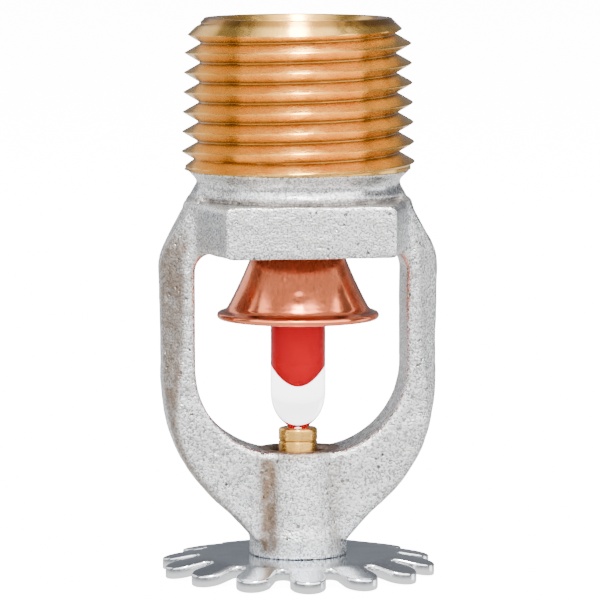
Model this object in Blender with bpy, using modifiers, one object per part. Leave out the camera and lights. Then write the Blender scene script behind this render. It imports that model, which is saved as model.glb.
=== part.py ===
"""Pendent fire sprinkler head, at its real size.

The axis of the waterway is Z. The toothed deflector is at the bottom, with its lowest edge at
Z = 0, and the threaded inlet is at the top. The two arms of the cast frame stand at +X and -X.
Flats for a wrench face -Y, the front, and +Y, the back.
Dimensions are in millimetres, and MM turns them into metres.
"""

import math

import bmesh
import bpy
from mathutils import Vector

MM = 0.001
GAP = 0.03  # clearance between pieces that touch
MERGE = 1e-7  # metres, far below the smallest edge
PAST = 1.0  # how far a cutter runs past the face that it cuts

# Heights along the axis
HUB_TOP = 1.83  # top of the deflector, where the knuckle stands
KNUCKLE_TOP = 11.72
WINDOW_BOTTOM = 11.55
BOSS_BOTTOM = 30.25
BOSS_TOP = 34.9
COLLAR = 37.9  # ring where the thread runs out, above the neck
INLET = 51.65

# Half inch tapered pipe thread, right-hand
PIPE_PITCH = 25.4 / 14
PIPE_TAPER = 1 / 32  # radius per length
PIPE_CREST_AT_INLET = 10.38
PIPE_DEPTH = 1.42
PIPE_FIRST_CREST = 49.36  # height of the crest on the +X side
PIPE_TURNS = 6.8
PIPE_STEPS = 26  # ridge sections in a turn
INLET_FACE_R = 8.6
INLET_CHAMFER = 0.4

# Frame
NECK_R = 9.35
NECK_TOP = 36.3
COLLAR_R = 10.4
COLLAR_LAND = 0.15  # half the height of the collar's rim
FLAT_Y = 9.5  # half the size across the wrench flats
FLAT_HALF_WIDTH = 7.65
FLAT_EDGE = 0.35
BOSS_SIDE_X = 9.8
BOSS_SIDE_Y = 3.0
ARM_HALF_DEPTH = 2.95
ARM_EDGE = 1.1
WINDOW_HALF_WIDTH = 9.8
WINDOW_LOWER_R = 8.0
WINDOW_CORNER_R = 2.0
KNUCKLE_TOP_R = 3.8
KNUCKLE_FOOT_R = 4.55
NOSE_R = 3.3
SWAGE = 0.6  # how far the nose is spread under the deflector
SWAGE_HEIGHT = 0.4
INLET_BORE_R = 6.8
INLET_BORE_BOTTOM = 38.6
ORIFICE_R = 5.6
ORIFICE_TOP = 36.2
SEAT_LIP_R = 6.2
SEAT_LIP_HEIGHT = 0.5
POCKET_R = 7.0

# Deflector
TINES = 14
TINE_TURN = math.radians(-2.3)  # the first tine stands a little to the left of the front
DEFLECTOR_R = 12.78
BEND_R = 8.9
BEND = math.radians(10.5)
SLOT_ROOT_R = 9.2
SLOT_ROOT_WIDTH = 1.35
TINE_TIP_R = 1.65

# Load screw, M5 x 0.8
SCREW_R = 2.5
SCREW_PITCH = 0.8
SCREW_DEPTH = 0.49
SCREW_CLEARANCE = 0.07
SCREW_THREAD_TOP = 10.6
SCREW_NOSE_R = 1.81
NOSE_GROOVE = 0.1
DRIVER_SLOT = 0.8
DRIVER_SLOT_DEPTH = 1.0
SCREW_TOP = 13.62
SCREW_BOTTOM = 0.45
CUP_R = 0.95
CUP_BOTTOM = 12.7

# Bulb and liquid
BULB_R = 2.55
BULB_TIP = 12.85
BULB_LOWER_SHOULDER = 17.4
BULB_UPPER_SHOULDER = 29.6
BULB_UPPER_HEIGHT = 2.2
BULB_STEPS = 22
PIP_R = 0.65
PIP_TOP = 33.1
CAVITY_R = 2.17
CAVITY_BOTTOM = 17.47
CAVITY_K = 2.17  # radius squared per height of the cavity's paraboloid end
CAPILLARY_R = 0.2
LIQUID_CLEARANCE = 0.02

# Closure
CAP_SHOULDER = 32.7
CAP_WALL = 0.6
CAP_NECK_R = 4.1
SPIGOT_R = 2.9
SPIGOT_TOP = 34.3
ATTACHMENT_R = 4.4
ATTACHMENT_WALL = 0.6
CONE_FOOT_R = 6.48
CONE_FOOT = 25.0
RIM_R = 7.53
RIM_BOTTOM = 23.8
WASHER_T = 0.42
WASHER_OUTER_R = 6.55
WASHER_INNER_R = SPIGOT_R + 0.05
WASHER_DISH = 0.06
FILM_T = 0.08
SEAT = CAP_SHOULDER + 2 * FILM_T + WASHER_T + WASHER_DISH + 4 * GAP  # rim that the washer seals

STEPS = 36  # facets around a large turned shape
CLOSURE_STEPS = 32


# ---------------------------------------------------------------- scene and materials

def clear_scene():
    for obj in list(bpy.data.objects):
        bpy.data.objects.remove(obj)


def collection(name):
    made = bpy.data.collections.new(name)
    bpy.context.scene.collection.children.link(made)
    return made


def material(name, colour, roughness, metallic=1.0, alpha=1.0, transmission=0.0):
    made = bpy.data.materials.new(name)
    made.use_nodes = True
    shader = made.node_tree.nodes["Principled BSDF"]
    shader.inputs["Base Color"].default_value = (*colour, 1.0)
    shader.inputs["Roughness"].default_value = roughness
    shader.inputs["Metallic"].default_value = metallic
    shader.inputs["Alpha"].default_value = alpha
    shader.inputs["Transmission Weight"].default_value = transmission
    return made


# ---------------------------------------------------------------- shape helpers

def add_object(name, data, group):
    obj = bpy.data.objects.new(name, data)
    group.objects.link(obj)
    return obj


def as_tool(obj):
    """Marks a shape that only cuts or joins another one."""
    obj.hide_render = True
    obj.display_type = "WIRE"
    return obj


def arc(centre, radii, start, end, count):
    """Points on an ellipse's arc, with angles in degrees; count is the number of segments."""
    points = []
    for i in range(count + 1):
        angle = math.radians(start + (end - start) * i / count)
        points.append((centre[0] + radii[0] * math.cos(angle), centre[1] + radii[1] * math.sin(angle)))
    return points


def bezier(p0, p1, p2, p3, count):
    points = []
    for i in range(count + 1):
        t = i / count
        weights = ((1 - t) ** 3, 3 * t * (1 - t) ** 2, 3 * t * t * (1 - t), t ** 3)
        points.append(tuple(sum(w * p[k] for w, p in zip(weights, (p0, p1, p2, p3))) for k in (0, 1)))
    return points


def turned(name, profile, group, closed=False, steps=STEPS):
    """Turns a profile of (radius, height) points, outer side top to bottom, about Z."""
    mesh = bpy.data.meshes.new(name)
    vertices = [(r * MM, 0, z * MM) for r, z in profile]
    edges = [(i, i + 1) for i in range(len(vertices) - 1)]
    if closed:
        edges.append((len(vertices) - 1, 0))
    mesh.from_pydata(vertices, edges, [])
    obj = add_object(name, mesh, group)
    screw = obj.modifiers.new("turn", "SCREW")
    screw.axis = "Z"
    screw.angle = 2 * math.pi
    screw.steps = steps
    screw.render_steps = steps
    screw.use_merge_vertices = True
    screw.merge_threshold = MERGE
    screw.use_smooth_shade = True
    return obj


def extruded(name, outline, low, high, group, axis="Z"):
    """Extrudes a counter-clockwise outline along Z, or an (x, z) outline along Y."""
    form = bmesh.new()
    if axis == "Z":
        corners = [form.verts.new((x * MM, y * MM, low * MM)) for x, y in outline]
        travel = Vector((0, 0, (high - low) * MM))
    else:
        corners = [form.verts.new((x * MM, high * MM, z * MM)) for x, z in outline]
        travel = Vector((0, (low - high) * MM, 0))
    base = form.faces.new(corners)
    side = bmesh.ops.extrude_face_region(form, geom=[base])
    moved = [item for item in side["geom"] if isinstance(item, bmesh.types.BMVert)]
    bmesh.ops.translate(form, verts=moved, vec=travel)
    bmesh.ops.recalc_face_normals(form, faces=form.faces)
    mesh = bpy.data.meshes.new(name)
    form.to_mesh(mesh)
    form.free()
    return add_object(name, mesh, group)


def bevelled(obj, width, segments=2, angle=40):
    bevel = obj.modifiers.new("bevel", "BEVEL")
    bevel.width = width * MM
    bevel.segments = segments
    bevel.limit_method = "ANGLE"
    bevel.angle_limit = math.radians(angle)
    return obj


def boolean(obj, tool, operation):
    step = obj.modifiers.new(operation.lower(), "BOOLEAN")
    step.operation = operation
    step.solver = "EXACT"
    step.object = tool


def thread_ridge(name, route, depth, half_base, group):
    """Sweeps a V-shaped ridge along a helix of (angle, height, root radius, scale) points."""
    section = bpy.data.curves.new(name + "_section", "CURVE")
    section.dimensions = "2D"
    corners = section.splines.new("POLY")
    corners.points.add(2)
    corners.use_cyclic_u = True
    for point, place in zip(corners.points, ((0, half_base), (depth, 0), (0, -half_base))):
        point.co = (place[0] * MM, place[1] * MM, 0, 1)
    section_obj = add_object(name + "_section", section, group)

    path = bpy.data.curves.new(name, "CURVE")
    path.dimensions = "3D"
    path.twist_mode = "Z_UP"
    path.bevel_mode = "OBJECT"
    path.bevel_object = section_obj
    path.use_fill_caps = True
    helix = path.splines.new("POLY")
    helix.points.add(len(route) - 1)
    for point, (angle, height, root, scale) in zip(helix.points, route):
        point.co = (root * math.cos(angle) * MM, root * math.sin(angle) * MM, height * MM, 1)
        point.radius = scale
    path_obj = add_object(name + "_path", path, group)

    bpy.context.view_layer.update()
    graph = bpy.context.evaluated_depsgraph_get()
    mesh = bpy.data.meshes.new_from_object(path_obj.evaluated_get(graph))
    form = bmesh.new()
    form.from_mesh(mesh)
    bmesh.ops.remove_doubles(form, verts=form.verts, dist=MERGE)
    form.to_mesh(mesh)
    form.free()
    ridge = add_object(name, mesh, group)
    ridge.matrix_world = path_obj.matrix_world
    bpy.data.objects.remove(path_obj)
    bpy.data.objects.remove(section_obj)
    return as_tool(ridge)


# ---------------------------------------------------------------- frame

def pipe_crest_r(z):
    return PIPE_CREST_AT_INLET + (INLET - z) * PIPE_TAPER


def pipe_thread(tools):
    """Right-hand tapered ridge: it fades in under the inlet's chamfer and out above the neck."""
    sunk = 0.12
    turns_above = 0.73  # from the first crest up to where the ridge starts
    fade_in, fade_out = 14, 9
    count = round(PIPE_STEPS * PIPE_TURNS)
    route = []
    for i in range(count + 1):
        turn = turns_above - i / PIPE_STEPS
        height = PIPE_FIRST_CREST + PIPE_PITCH * turn
        scale = min(1.0, 0.3 + 0.7 * i / fade_in, 0.15 + 0.85 * (count - i) / fade_out)
        route.append((2 * math.pi * turn, height, pipe_crest_r(height) - PIPE_DEPTH - sunk, scale))
    route.reverse()
    half_base = (PIPE_DEPTH + sunk) * math.tan(math.radians(30))
    return thread_ridge("pipe_thread", route, PIPE_DEPTH + sunk, half_base, tools)


def nipple(name, group):
    """Threaded inlet and neck without the thread, down into the boss."""
    root_low = pipe_crest_r(COLLAR) - PIPE_DEPTH
    root_high = pipe_crest_r(INLET) - PIPE_DEPTH
    foot_r = NECK_R + 0.1
    foot = BOSS_BOTTOM + 1.5
    profile = [(0, INLET), (INLET_FACE_R, INLET), (root_high, INLET - INLET_CHAMFER)]
    profile += [(root_low, COLLAR + COLLAR_R - root_low - 0.25)]
    profile += [(COLLAR_R, COLLAR + COLLAR_LAND), (COLLAR_R, COLLAR - COLLAR_LAND)]
    profile += [(NECK_R + 0.15, NECK_TOP + 0.5), (NECK_R, NECK_TOP), (NECK_R, NECK_TOP - 0.6)]
    profile += [(foot_r, BOSS_TOP - 0.3), (foot_r, foot), (0, foot)]
    return turned(name, profile, group)


def wrench_boss(tools):
    """Block with the two wrench flats, and sides that lead back to the arms."""
    right = [(FLAT_HALF_WIDTH, -FLAT_Y), (BOSS_SIDE_X, -BOSS_SIDE_Y)]
    right += [(x, -y) for x, y in reversed(right)]
    outline = right + [(-x, -y) for x, y in right]
    boss = extruded("wrench_boss", outline, BOSS_BOTTOM, BOSS_TOP, tools)
    return as_tool(bevelled(boss, FLAT_EDGE, 2, 20))


def yoke_outline():
    """Right half of the arms' outer outline, as (x, z) points from the knuckle up to the neck."""
    foot = [(4.3, 3.3), (4.6, 3.7), (5.58, 4.85)]
    sweep = bezier((6.6, 5.9), (10.6, 9.3), (12.8, 12.6), (12.75, 20.0), 8)
    side = [(12.93, 27.2)]
    shoulder = bezier((12.97, 28.5), (12.97, 30.0), (12.45, 30.8), (11.94, 31.66), 4)
    return foot + sweep + side + shoulder + [(9.3, 36.2), (6.0, 36.2)]


def yoke(tools):
    """Arms and webs: a plate in the plane Y = 0 with the window cut out."""
    right = yoke_outline()
    outline = right + [(-x, z) for x, z in reversed(right)]
    plate = extruded("yoke", outline, -ARM_HALF_DEPTH, ARM_HALF_DEPTH, tools, axis="Y")
    bevelled(plate, ARM_EDGE, 2, 45)
    boolean(plate, window(tools), "DIFFERENCE")
    return as_tool(plate)


def window(tools):
    top = BOSS_BOTTOM + 0.1
    corner = (WINDOW_HALF_WIDTH - WINDOW_CORNER_R, top - WINDOW_CORNER_R)
    radii = (WINDOW_CORNER_R, WINDOW_CORNER_R)
    lower = (WINDOW_HALF_WIDTH - WINDOW_LOWER_R, WINDOW_BOTTOM + WINDOW_LOWER_R)
    lower_radii = (WINDOW_LOWER_R, WINDOW_LOWER_R)
    outline = arc((-lower[0], lower[1]), lower_radii, 180, 270, 10)
    outline += arc(lower, lower_radii, 270, 360, 10)
    outline += arc(corner, radii, 0, 90, 5)
    outline += arc((-corner[0], corner[1]), radii, 90, 180, 5)
    reach = ARM_HALF_DEPTH + PAST
    return as_tool(extruded("window", outline, -reach, reach, tools, axis="Y"))


def knuckle(tools):
    """Round body that holds the load screw, and the nose that is swaged under the deflector."""
    foot = HUB_TOP + GAP
    collar = HUB_TOP - deflector_thickness() - GAP
    profile = [(0, KNUCKLE_TOP), (KNUCKLE_TOP_R - 0.2, KNUCKLE_TOP), (KNUCKLE_TOP_R, KNUCKLE_TOP - 0.2)]
    profile += [(4.0, 8.0), (4.3, 4.8), (KNUCKLE_FOOT_R, 3.6), (KNUCKLE_FOOT_R, foot)]
    profile += [(NOSE_R, foot), (NOSE_R, collar), (NOSE_R + SWAGE, collar)]
    profile += [(NOSE_R + 0.75 * SWAGE, collar - SWAGE_HEIGHT), (0, collar - SWAGE_HEIGHT)]
    return as_tool(turned("knuckle", profile, tools))


def waterway(tools):
    """Inlet bore, orifice, seat rim and the pocket that holds the closure."""
    mouth = 0.6  # depth of the chamfer, which the profile carries on up to its own top
    top = INLET + PAST
    foot = BOSS_BOTTOM - PAST
    profile = [(0, top), (INLET_BORE_R + mouth + PAST, top), (INLET_BORE_R, INLET - mouth)]
    profile += [(INLET_BORE_R, INLET_BORE_BOTTOM), (ORIFICE_R, ORIFICE_TOP), (ORIFICE_R, SEAT)]
    profile += [(SEAT_LIP_R, SEAT), (SEAT_LIP_R, SEAT + SEAT_LIP_HEIGHT)]
    profile += [(POCKET_R, SEAT + SEAT_LIP_HEIGHT), (POCKET_R, foot), (0, foot)]
    return as_tool(turned("waterway", profile, tools))


def screw_bore(tools):
    radius = SCREW_R + SCREW_CLEARANCE
    chamfer = 0.3
    top = KNUCKLE_TOP + PAST
    profile = [(0, top), (radius + chamfer + PAST, top), (radius, KNUCKLE_TOP - chamfer)]
    profile += [(radius, -PAST), (0, -PAST)]
    return as_tool(turned("screw_bore", profile, tools, steps=24))


def make_frame(parts, tools):
    body = nipple("frame", parts)
    boolean(body, pipe_thread(tools), "UNION")
    boolean(body, wrench_boss(tools), "UNION")
    boolean(body, yoke(tools), "UNION")
    boolean(body, knuckle(tools), "UNION")
    boolean(body, waterway(tools), "DIFFERENCE")
    boolean(body, screw_bore(tools), "DIFFERENCE")
    body.data.materials.append(material("plated_casting", (0.62, 0.61, 0.60), 0.42))


# ---------------------------------------------------------------- deflector

def deflector_thickness():
    drop = (DEFLECTOR_R - BEND_R) * math.tan(BEND)
    return (HUB_TOP - drop) * math.cos(BEND)


def tine_outline():
    """Star outline, counter-clockwise: round tips, and slots with round roots."""
    pitch = 2 * math.pi / TINES
    tip_centre = DEFLECTOR_R - TINE_TIP_R
    root_centre = SLOT_ROOT_R + SLOT_ROOT_WIDTH / 2
    points = []
    for k in range(TINES):
        middle = -math.pi / 2 + TINE_TURN + k * pitch
        for i in range(7):
            turn = math.radians(-90 + 30 * i)
            along = tip_centre + TINE_TIP_R * math.cos(turn)
            across = TINE_TIP_R * math.sin(turn)
            points.append(rotated(along, across, middle))
        for i in range(5):
            turn = math.radians(-90 + 45 * i)
            along = root_centre - SLOT_ROOT_WIDTH / 2 * math.cos(turn)
            across = SLOT_ROOT_WIDTH / 2 * math.sin(turn)
            points.append(rotated(along, across, middle + pitch / 2))
    return points


def rotated(x, y, angle):
    return (x * math.cos(angle) - y * math.sin(angle), x * math.sin(angle) + y * math.cos(angle))


def make_deflector(parts, tools):
    """Flat hub whose teeth are bent down, cut from a dished ring by the star outline."""
    thickness = deflector_thickness()
    hole = NOSE_R + 0.05
    outer = DEFLECTOR_R + PAST
    drop = (outer - BEND_R) * math.tan(BEND)
    under_bend = BEND_R - thickness * math.tan(BEND / 2)
    slant = thickness / math.cos(BEND)
    profile = [(hole, HUB_TOP), (BEND_R, HUB_TOP), (outer, HUB_TOP - drop)]
    profile += [(outer, HUB_TOP - drop - slant), (under_bend, HUB_TOP - thickness)]
    profile.append((hole, HUB_TOP - thickness))
    ring = turned("deflector", profile, parts, closed=True, steps=3 * TINES)
    star = as_tool(extruded("tine_outline", tine_outline(), -2 * PAST, HUB_TOP + PAST, tools))
    boolean(ring, star, "INTERSECT")
    ring.data.materials.append(material("plated_sheet", (0.60, 0.62, 0.65), 0.22))


# ---------------------------------------------------------------- load screw

def make_load_screw(parts, tools):
    """Slotted screw with a plain nose and a conical cup for the bulb's lower end."""
    core = SCREW_R - SCREW_DEPTH
    profile = [(0, CUP_BOTTOM), (0.42, CUP_BOTTOM), (0.42, 13.02), (CUP_R, SCREW_TOP)]
    profile += [(1.2, SCREW_TOP), (SCREW_NOSE_R, SCREW_TOP - 0.5), (SCREW_NOSE_R, 12.6)]
    profile += [(SCREW_NOSE_R - NOSE_GROOVE, 12.5), (SCREW_NOSE_R - NOSE_GROOVE, 12.35)]
    profile += [(SCREW_NOSE_R, 12.25), (SCREW_NOSE_R, 11.3), (core, 11.0)]
    profile += [(core, SCREW_BOTTOM + 0.1), (core - 0.1, SCREW_BOTTOM), (0, SCREW_BOTTOM)]
    body = turned("load_screw", profile, parts, steps=20)

    sunk = 0.05
    per_turn = 12
    fade = 6
    bottom = SCREW_BOTTOM + 0.5
    count = round(per_turn * (SCREW_THREAD_TOP - bottom) / SCREW_PITCH)
    route = []
    for i in range(count + 1):
        height = bottom + (SCREW_THREAD_TOP - bottom) * i / count
        scale = min(1.0, 0.3 + 0.7 * i / fade, 0.3 + 0.7 * (count - i) / fade)
        route.append((2 * math.pi * height / SCREW_PITCH, height, core - sunk, scale))
    half_base = 0.48 * SCREW_PITCH
    boolean(body, thread_ridge("screw_thread", route, SCREW_DEPTH + sunk, half_base, tools), "UNION")

    slot = bmesh.new()
    bmesh.ops.create_cube(slot, size=1.0)
    reach = SCREW_R + PAST
    depth = DRIVER_SLOT_DEPTH + PAST
    bmesh.ops.scale(slot, verts=slot.verts, vec=(2 * reach * MM, DRIVER_SLOT * MM, depth * MM))
    middle = SCREW_BOTTOM + DRIVER_SLOT_DEPTH - depth / 2
    bmesh.ops.translate(slot, verts=slot.verts, vec=(0, 0, middle * MM))
    mesh = bpy.data.meshes.new("driver_slot")
    slot.to_mesh(mesh)
    slot.free()
    boolean(body, as_tool(add_object("driver_slot", mesh, tools)), "DIFFERENCE")
    body.data.materials.append(material("turned_brass", (0.68, 0.48, 0.22), 0.28))


# ---------------------------------------------------------------- bulb

def cavity_profile(clearance):
    """Half outline of the bulb's hollow, top to bottom, shrunk by a clearance."""
    radius = CAVITY_R - clearance
    shoulder = BULB_UPPER_SHOULDER - 0.1
    points = arc((0, shoulder), (radius, 1.7 - clearance), 84, 0, 6)
    for k in (1.0, 0.85, 0.65, 0.4, 0.2):
        r = k * radius
        points.append((r, CAVITY_BOTTOM + clearance * 1.5 + r * r / CAVITY_K))
    points.append((0, CAVITY_BOTTOM + clearance * 1.5))
    return points


def make_bulb(parts):
    """Glass bulb: pip on top, rounded shoulder, solid conical lower end. The capillary is open."""
    outer = [(CAPILLARY_R, PIP_TOP), (PIP_R - 0.15, PIP_TOP - 0.03), (PIP_R, PIP_TOP - 0.25)]
    start = math.degrees(math.acos(PIP_R / BULB_R))
    outer += arc((0, BULB_UPPER_SHOULDER), (BULB_R, BULB_UPPER_HEIGHT), start, 0, 8)
    outer += bezier((BULB_R, BULB_LOWER_SHOULDER), (BULB_R, 15.9), (1.95, 14.9), (1.18, 14.0), 6)
    outer += [(0.8, 13.56), (0.33, 13.03), (0, BULB_TIP)]
    inner = cavity_profile(0.0)
    inner[0] = (CAPILLARY_R, inner[0][1])
    bulb = turned("glass_bulb", inner[::-1] + outer, parts, steps=BULB_STEPS)
    glass = material("bulb_glass", (0.95, 0.97, 0.97), 0.03, 0.0, 0.35, 1.0)
    bulb.data.materials.append(glass)


def make_liquid(parts):
    profile = cavity_profile(LIQUID_CLEARANCE)
    profile.insert(0, (0, profile[0][1]))
    liquid = turned("bulb_liquid", profile, parts, steps=BULB_STEPS)
    liquid.data.materials.append(material("red_liquid", (0.75, 0.02, 0.03), 0.05, 0.0))


# ---------------------------------------------------------------- closure

def make_pip_cap(parts):
    """Copper pressing: spigot, shoulder, neck, cone and rolled rim, one wall thick."""
    lean = (CONE_FOOT_R - CAP_NECK_R) / (BOSS_BOTTOM - CONE_FOOT)
    wall = CAP_WALL * math.hypot(1, lean)
    outer = [(0, SPIGOT_TOP), (SPIGOT_R - 0.25, SPIGOT_TOP), (SPIGOT_R, SPIGOT_TOP - 0.25)]
    outer += [(SPIGOT_R, CAP_SHOULDER), (CAP_NECK_R - 0.2, CAP_SHOULDER), (CAP_NECK_R, CAP_SHOULDER - 0.2)]
    outer += [(CAP_NECK_R, BOSS_BOTTOM), (CONE_FOOT_R, CONE_FOOT), (6.8, 24.62)]
    outer += arc((RIM_R - 0.36, RIM_BOTTOM + 0.36), (0.36, 0.36), 80, -90, 6)
    inner = [(6.35, RIM_BOTTOM), (6.05, RIM_BOTTOM + 0.3), (CONE_FOOT_R - wall, CONE_FOOT)]
    inner += [(CAP_NECK_R - CAP_WALL, BOSS_BOTTOM - 0.1), (CAP_NECK_R - CAP_WALL, CAP_SHOULDER - CAP_WALL)]
    inner += [(SPIGOT_R - CAP_WALL, CAP_SHOULDER - CAP_WALL), (SPIGOT_R - CAP_WALL, SPIGOT_TOP - CAP_WALL)]
    inner.append((0, SPIGOT_TOP - CAP_WALL))
    cap = turned("pip_cap", outer + inner, parts, steps=CLOSURE_STEPS)
    cap.data.materials.append(material("copper", (0.80, 0.33, 0.18), 0.30))


def make_cap_insert(parts):
    """Seat ring whose countersink bears on the bulb's shoulder."""
    outer_r = CAP_NECK_R - CAP_WALL - 0.05
    top = CAP_SHOULDER - CAP_WALL - GAP
    contact_r, hole_r, mouth_r = 1.8, 1.2, 2.5
    rise = math.sqrt(1 - (contact_r / BULB_R) ** 2)
    contact_z = BULB_UPPER_SHOULDER + BULB_UPPER_HEIGHT * rise + 0.04
    slope = BULB_UPPER_HEIGHT / BULB_R * (contact_r / BULB_R) / rise
    mouth_z = contact_z - slope * (mouth_r - contact_r)
    hole_z = contact_z + slope * (contact_r - hole_r)
    profile = [(hole_r, top), (outer_r - 0.15, top), (outer_r, top - 0.15), (outer_r, mouth_z)]
    profile += [(mouth_r, mouth_z), (hole_r, hole_z)]
    ring = turned("cap_insert", profile, parts, closed=True, steps=28)
    ring.data.materials.append(material("stainless_steel", (0.58, 0.57, 0.55), 0.25))


def dished_ring(name, bottom, thickness, inner_r, outer_r, parts):
    """Thin ring, a little higher at its outer edge than at its inner edge."""
    profile = [(inner_r, bottom + thickness), (outer_r, bottom + thickness + WASHER_DISH)]
    profile += [(outer_r, bottom + WASHER_DISH), (inner_r, bottom)]
    return turned(name, profile, parts, closed=True, steps=CLOSURE_STEPS)


def make_seal(parts):
    """Spring washer with a film on each face, clamped between the cap and the seat."""
    ptfe = material("ptfe", (0.85, 0.86, 0.86), 0.45, 0.0)
    film_outer = WASHER_OUTER_R - 0.1
    low = CAP_SHOULDER + GAP
    lower = dished_ring("seal_film_lower", low, FILM_T, WASHER_INNER_R, film_outer, parts)
    lower.data.materials.append(ptfe)
    low += FILM_T + GAP
    washer = dished_ring("belleville_washer", low, WASHER_T, WASHER_INNER_R, WASHER_OUTER_R, parts)
    washer.data.materials.append(material("nickel_alloy", (0.50, 0.48, 0.44), 0.30))
    low += WASHER_T + GAP
    upper = dished_ring("seal_film_upper", low, FILM_T, WASHER_INNER_R, film_outer, parts)
    upper.data.materials.append(ptfe)
    return low + FILM_T + GAP


def make_cap_attachment(parts, foot):
    """Cap on the water side that holds the washer on the spigot."""
    inner_r = SPIGOT_R + GAP
    ceiling = SPIGOT_TOP + GAP
    top = ceiling + ATTACHMENT_WALL
    profile = [(0, top), (inner_r, top), (ATTACHMENT_R, top - 0.7), (ATTACHMENT_R, foot)]
    profile += [(inner_r, foot), (inner_r, ceiling), (0, ceiling)]
    cover = turned("pip_cap_attachment", profile, parts, steps=CLOSURE_STEPS)
    cover.data.materials.append(material("machined_brass", (0.70, 0.50, 0.24), 0.30))


def main():
    clear_scene()
    parts = collection("fire_sprinkler_head")
    tools = collection("cutters")
    make_frame(parts, tools)
    make_deflector(parts, tools)
    make_load_screw(parts, tools)
    make_bulb(parts)
    make_liquid(parts)
    make_pip_cap(parts)
    make_cap_insert(parts)
    foot = make_seal(parts)
    make_cap_attachment(parts, foot)
    tools.hide_render = True


main()
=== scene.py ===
"""Looks of a pendent fire sprinkler head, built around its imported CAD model.

The axis of the waterway is Z, the deflector is at the bottom and the threaded inlet at the top.
The arms stand at +X and -X, and the front faces -Y. Lengths are in millimetres until a mesh is made.
"""

import math

import bmesh
import bpy
import numpy as np
import openvdb
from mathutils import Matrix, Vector
from mathutils.geometry import delaunay_2d_cdt


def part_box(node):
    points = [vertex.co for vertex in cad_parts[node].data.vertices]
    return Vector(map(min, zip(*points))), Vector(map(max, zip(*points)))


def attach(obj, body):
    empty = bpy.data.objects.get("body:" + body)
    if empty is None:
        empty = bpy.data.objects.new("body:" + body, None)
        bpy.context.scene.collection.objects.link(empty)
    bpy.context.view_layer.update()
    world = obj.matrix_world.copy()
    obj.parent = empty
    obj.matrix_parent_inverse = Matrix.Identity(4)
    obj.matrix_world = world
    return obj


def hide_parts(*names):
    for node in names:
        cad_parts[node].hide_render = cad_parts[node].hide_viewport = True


MM = 0.001
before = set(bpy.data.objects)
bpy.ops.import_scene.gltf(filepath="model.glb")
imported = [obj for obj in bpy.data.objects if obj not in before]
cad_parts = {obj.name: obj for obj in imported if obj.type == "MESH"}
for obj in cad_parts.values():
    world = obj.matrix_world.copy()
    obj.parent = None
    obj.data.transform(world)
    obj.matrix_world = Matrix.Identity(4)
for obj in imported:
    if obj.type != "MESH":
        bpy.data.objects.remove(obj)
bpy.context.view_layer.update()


def cad(node):
    """Radius, lowest and highest point of a CAD node, in millimetres."""
    low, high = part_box(node)
    return high.x / MM, low.z / MM, high.z / MM


# ---------------------------------------------------------------- dimensions

INLET = cad("frame")[2]
HUB_TOP = cad("deflector")[2]
BULB_R, BULB_TIP, PIP_TOP = cad("glass_bulb")
RIM_R, RIM_BOTTOM, SPIGOT_TOP = cad("pip_cap")
SCREW_R, SCREW_BOTTOM, SCREW_TOP = cad("load_screw")
INSERT_R, INSERT_BOTTOM, INSERT_TOP = cad("cap_insert")
ATTACHMENT_R, ATTACHMENT_BOTTOM, ATTACHMENT_TOP = cad("pip_cap_attachment")
SCREW_PITCH = 0.8
FLAT_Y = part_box("frame")[1].y / MM

CORNER_STEPS = 4

# Casting
COLLAR = 37.9
COLLAR_R = 10.4
BOSS_TOP = 34.9
BOSS_BOTTOM = 30.25
FLAT_HALF_WIDTH = 7.65
BOSS_SIDE = (9.8, 3.0)
ARM_HALF_DEPTH = 2.95
WINDOW_HALF_WIDTH = 9.8
WINDOW_BOTTOM = 11.55
WINDOW_LOWER_R = 8.0
WINDOW_CORNER_R = 2.0
KNUCKLE_TOP = 11.72
SEAT = ATTACHMENT_BOTTOM + 0.03
VOXEL = 0.192
GRID_LOW = (-13.8, -10.3, -0.2)
GRID_SPAN = (27.6, 20.6, 38.4)

# Hollow of the bulb
CAVITY_R = 2.17
CAVITY_BOTTOM = 17.47

# Half inch tapered pipe thread
PITCH = 25.4 / 14
TAPER = 1 / 32
CREST_AT_INLET = 10.38
THREAD_DEPTH = 1.42
FIRST_CREST = 49.36
FLANK_END, FLANK_SHARE = 0.94, 0.91
CHAMFER_R = 8.62
RUNOUT_SLOPE = 1.35
THREAD_FOOT = COLLAR - 0.15
BORE_R = 6.8

# Deflector
TINES = 14
TINE_TURN = math.radians(-2.3)
DEFLECTOR_R = -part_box("deflector")[0].y / MM / math.cos(TINE_TURN)
BEND_R = 8.9
BEND = math.radians(10.5)
TINE_TIP_R = 1.65
SLOT_ROOT_R = 9.2
SLOT_ROOT_WIDTH = 1.35
DEFLECTOR_EDGE = 0.16
DEFLECTOR_HOLE_R = 3.35
PLATE = (HUB_TOP - (DEFLECTOR_R - BEND_R) * math.tan(BEND)) * math.cos(BEND)


# ---------------------------------------------------------------- shader nodes

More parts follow.
